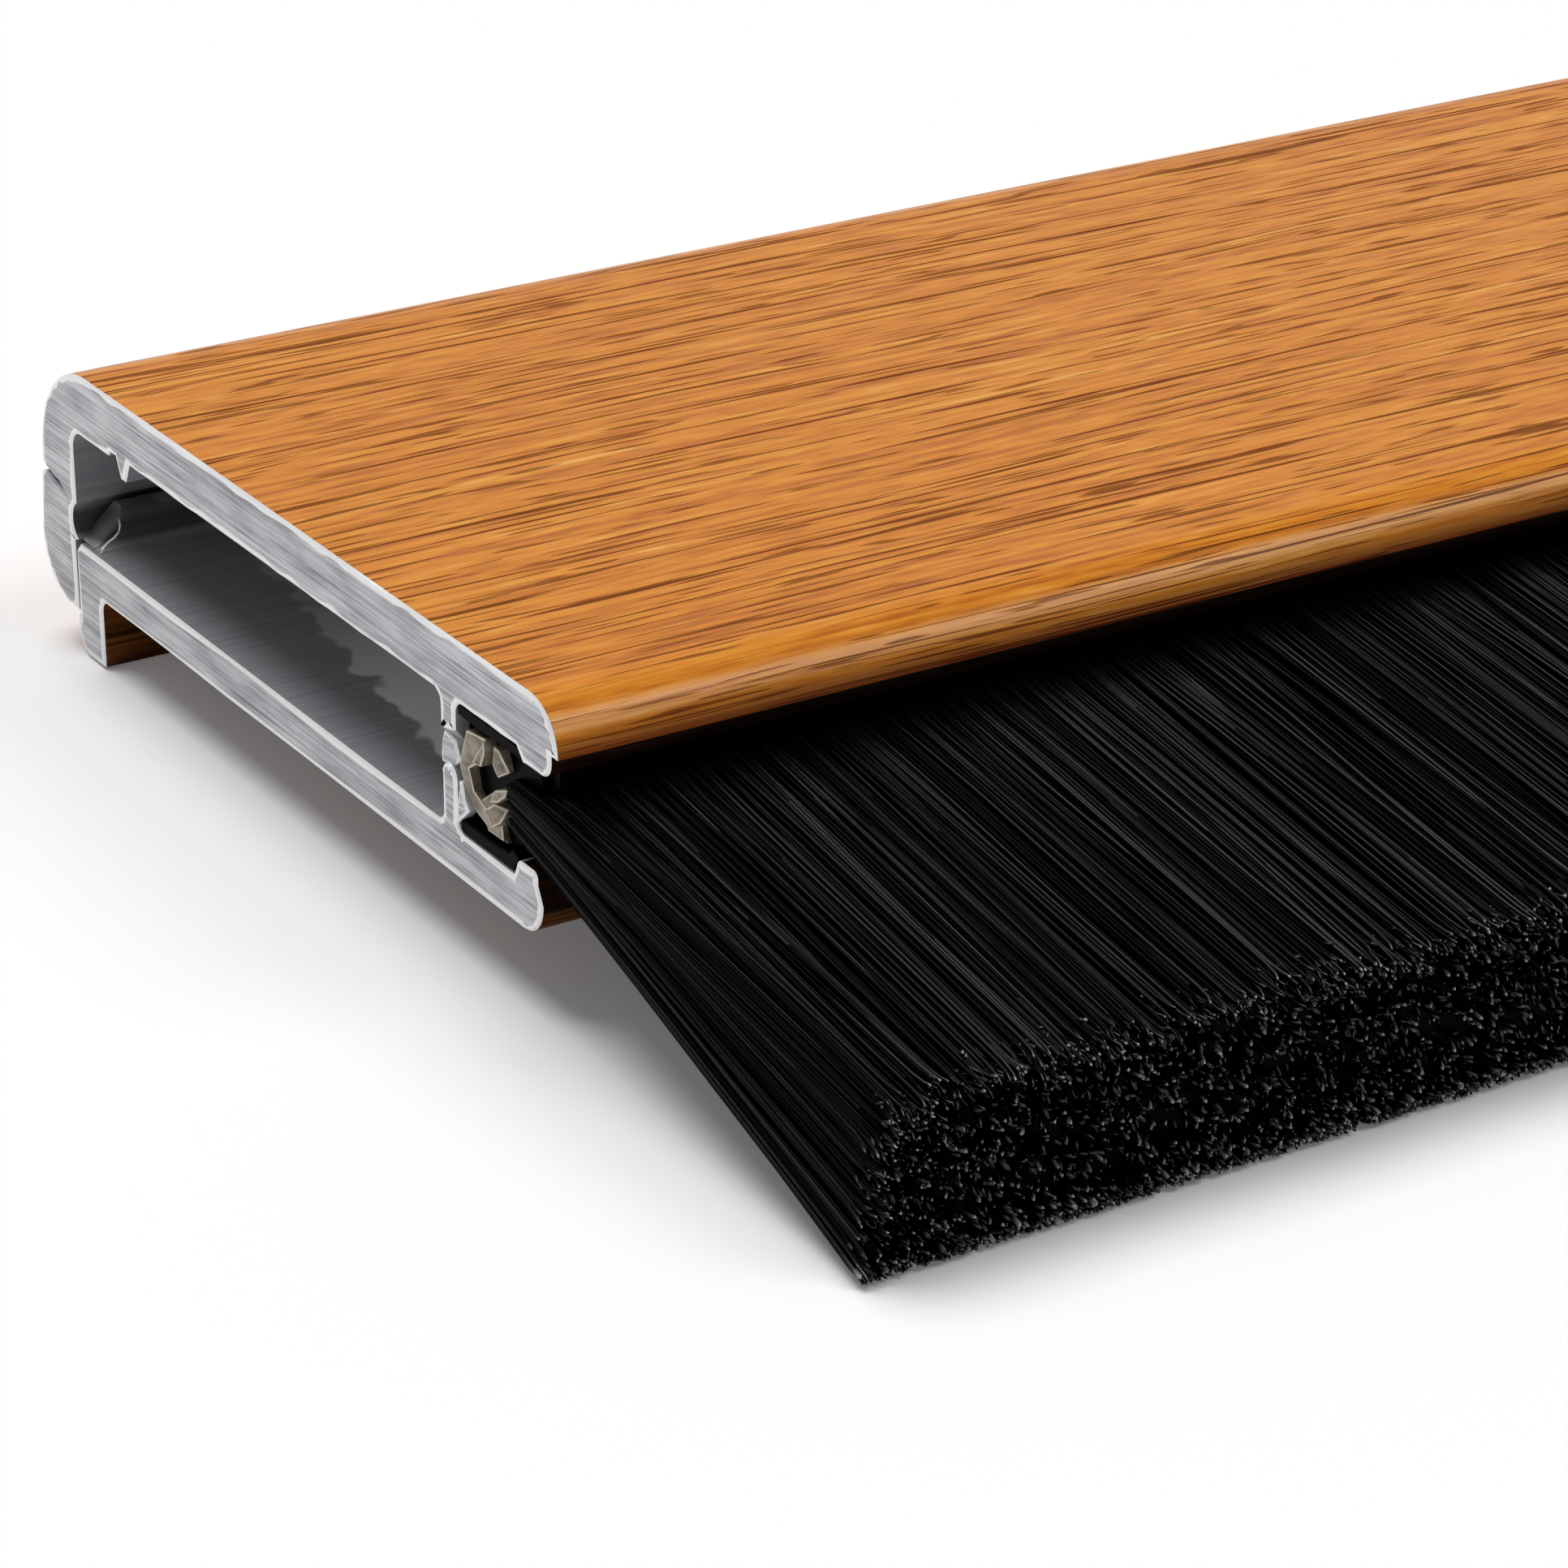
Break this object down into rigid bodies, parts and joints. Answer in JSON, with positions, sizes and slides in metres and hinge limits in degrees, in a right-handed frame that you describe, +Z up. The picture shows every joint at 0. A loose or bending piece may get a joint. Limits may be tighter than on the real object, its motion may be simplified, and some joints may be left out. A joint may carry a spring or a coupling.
{
  "type": "brush door sweep",
  "caption": "Long clip-together aluminium carrier in a wood-grain finish, holding a black nylon strip brush that seals the gap under a door.",
  "frame": {"origin": "bottom centre of the bounding box, on the surface that the rear foot and the filament tips rest on", "axes": "+X along the length, +Y towards the rear edge away from the brush tips, +Z up out of the cover face"},
  "size_m": [0.9152, 0.056, 0.0108],
  "materials": {
    "wood_grain_cover": "satin wood-grain film, bare metal at the saw cut and inside",
    "wood_grain_base": "satin wood-grain film outside, bare metal at the saw cut and inside",
    "galvanised_steel": "dull",
    "steel_wire": "dull",
    "black_nylon": "satin filaments"
  },
  "bodies": {
    "root": {"cover_profile": "wood_grain_cover", "base_profile": "wood_grain_base", "brush_channel": "galvanised_steel", "core_wire": "steel_wire", "bristle_pack": "black_nylon"}
  },
  "joints": []
}
